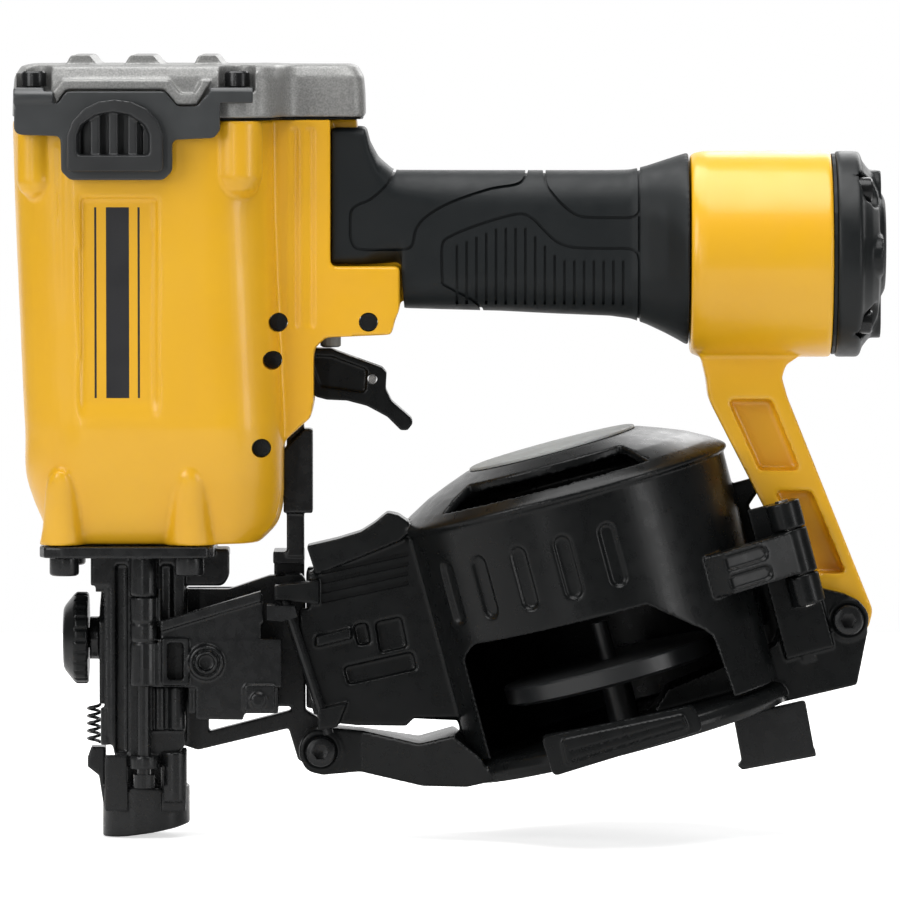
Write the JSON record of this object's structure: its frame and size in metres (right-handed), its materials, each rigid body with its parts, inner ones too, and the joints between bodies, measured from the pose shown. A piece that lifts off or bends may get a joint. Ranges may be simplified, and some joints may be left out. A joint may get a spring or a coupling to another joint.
{
  "type": "pneumatic coil nailer",
  "caption": "Pneumatic roofing nailer with a drum magazine, sprung contact foot, trigger, hinged nose door and rear air inlet.",
  "frame": {"origin": "centre of the bounding box in plan, at the lowest point of the contact foot", "axes": "+X from the barrel to the air inlet, +Z from the nose up to the cylinder cap, Y across the tool"},
  "size_m": [0.2788, 0.117, 0.251],
  "materials": {
    "yellow_paint": "gloss",
    "cast_aluminium": "blasted",
    "grip_rubber": "matte",
    "black_plastic": "satin",
    "bright_steel": "satin",
    "black_steel": "phosphated",
    "grey_trim": "satin"
  },
  "bodies": {
    "tool_body": {"main_housing": "yellow_paint", "trigger_pin": "black_steel", "valve_pin_front": "black_steel", "valve_pin_rear": "black_steel", "guide_pin": "black_steel", "top_cap": "cast_aluminium", "cap_gasket": "black_plastic", "cap_bolt_1": "black_steel", "cap_bolt_2": "black_steel", "cap_bolt_3": "black_steel", "cap_bolt_4": "black_steel", "exhaust_shield": "black_plastic", "exhaust_grille": "black_plastic", "cylinder_sleeve": "cast_aluminium", "piston_bumper": "grip_rubber", "grip_sleeve": "grip_rubber", "end_cap_gasket": "grip_rubber", "end_cap": "black_plastic", "end_cap_screw_1": "black_steel", "end_cap_screw_2": "black_steel", "end_cap_screw_3": "black_steel", "end_cap_screw_4": "black_steel", "air_inlet": "bright_steel", "trigger_valve_body": "grey_trim", "nose_body": "black_steel", "nose_bolt_1": "black_steel", "nose_bolt_2": "black_steel", "nose_bolt_3": "black_steel", "nose_bolt_4": "black_steel", "door_hinge_pin": "bright_steel", "feed_cylinder": "black_steel", "feed_cylinder_cap": "black_steel", "magazine_base": "black_plastic", "magazine_bolt_front": "bright_steel", "magazine_bolt_rear": "bright_steel", "magazine_hinge_pin": "bright_steel", "skid_pad_left": "black_plastic", "skid_pad_right": "black_plastic"},
    "drive_piston": {"piston": "cast_aluminium", "driver_blade": "bright_steel"},
    "head_valve": {"head_valve": "cast_aluminium", "head_valve_spring": "bright_steel"},
    "trigger": {"trigger": "black_plastic", "trigger_lever": "bright_steel", "trigger_lever_pin": "bright_steel"},
    "valve_stem": {"trigger_valve_stem": "grey_trim"},
    "contact_trip": {"contact_arm": "black_steel", "contact_spring": "bright_steel"},
    "depth_knob": {"depth_knob": "black_plastic"},
    "contact_foot": {"contact_foot": "black_steel"},
    "feed_piston": {"feed_piston": "bright_steel"},
    "feed_pawl": {"feed_pawl": "bright_steel"},
    "nose_door": {"nose_door": "black_steel"},
    "magazine_cover": {"magazine_cover": "black_plastic", "cover_disc": "grey_trim", "latch_rod": "bright_steel"},
    "door_latch": {"door_latch": "black_steel"},
    "nail_platform": {"nail_platform": "grey_trim"},
    "shingle_guide": {"shingle_guide": "black_steel"}
  },
  "joints": [
    {"name": "drive_stroke", "type": "slide", "parent": "tool_body", "child": "drive_piston", "axis": [0, 0, -1], "range_m": [0, 0.074]},
    {"name": "head_valve_lift", "type": "slide", "parent": "tool_body", "child": "head_valve", "axis": [0, 0, 1], "range_m": [0, 0.004], "stiffness_N_per_m": 1500, "springref_m": -0.004, "deforming": ["head_valve_spring"]},
    {"name": "trigger_pull", "type": "hinge", "parent": "tool_body", "child": "trigger", "pos_m": [-0.0565, 0, 0.154], "axis": [0, -1, 0], "range_deg": [0, 8], "stiffness_Nm_per_rad": 1.2, "springref_deg": -8.59},
    {"name": "valve_stem_slide", "type": "slide", "parent": "tool_body", "child": "valve_stem", "axis": [0, 0, 1], "range_m": [0, 0.0027]},
    {"name": "contact_trip_slide", "type": "slide", "parent": "tool_body", "child": "contact_trip", "axis": [0, 0, 1], "range_m": [0, 0.006], "stiffness_N_per_m": 3000, "springref_m": -0.006},
    {"name": "depth_turn", "type": "hinge", "parent": "contact_trip", "child": "depth_knob", "pos_m": [-0.119, 0, 0.0636], "axis": [1, 0, 0], "range_deg": [0, 270]},
    {"name": "foot_adjust", "type": "slide", "parent": "contact_trip", "child": "contact_foot", "axis": [0, 0, -1], "range_m": [0, 0.003], "deforming": ["contact_spring"]},
    {"name": "feed_stroke", "type": "slide", "parent": "tool_body", "child": "feed_piston", "axis": [1, 0, 0], "range_m": [0, 0.008], "stiffness_N_per_m": 500, "springref_m": -0.004},
    {"name": "pawl_turn", "type": "hinge", "parent": "feed_piston", "child": "feed_pawl", "pos_m": [-0.074, 0.021, 0.057], "axis": [0, 0, -1], "range_deg": [0, 6], "stiffness_Nm_per_rad": 0.04, "springref_deg": -17.19},
    {"name": "door_swing", "type": "hinge", "parent": "tool_body", "child": "nose_door", "pos_m": [-0.0978, -0.0176, 0.06], "axis": [0, 0, -1], "range_deg": [0, 110]},
    {"name": "cover_swing", "type": "hinge", "parent": "tool_body", "child": "magazine_cover", "pos_m": [0.11002, -0.023, 0.09252], "axis": [-0.2588, 0, 0.9659], "range_deg": [0, 95]},
    {"name": "latch_turn", "type": "hinge", "parent": "magazine_cover", "child": "door_latch", "pos_m": [-0.0513, -0.0176, 0.0722], "axis": [-0.3111, 0, 0.9504], "range_deg": [0, 35], "stiffness_Nm_per_rad": 0.05, "springref_deg": -17.19},
    {"name": "platform_height", "type": "slide", "parent": "tool_body", "child": "nail_platform", "axis": [-0.2588, 0, 0.9659], "range_m": [0, 0.012]},
    {"name": "guide_slide", "type": "slide", "parent": "tool_body", "child": "shingle_guide", "axis": [0.9732, 0, 0.23], "range_m": [-0.003, 0.012]}
  ],
  "couplings": [
    {"joint": "valve_stem_slide", "follows": "trigger_pull", "m_per_rad": 0.0185},
    {"joint": "depth_turn", "follows": "foot_adjust", "rad_per_m": 1570}
  ]
}
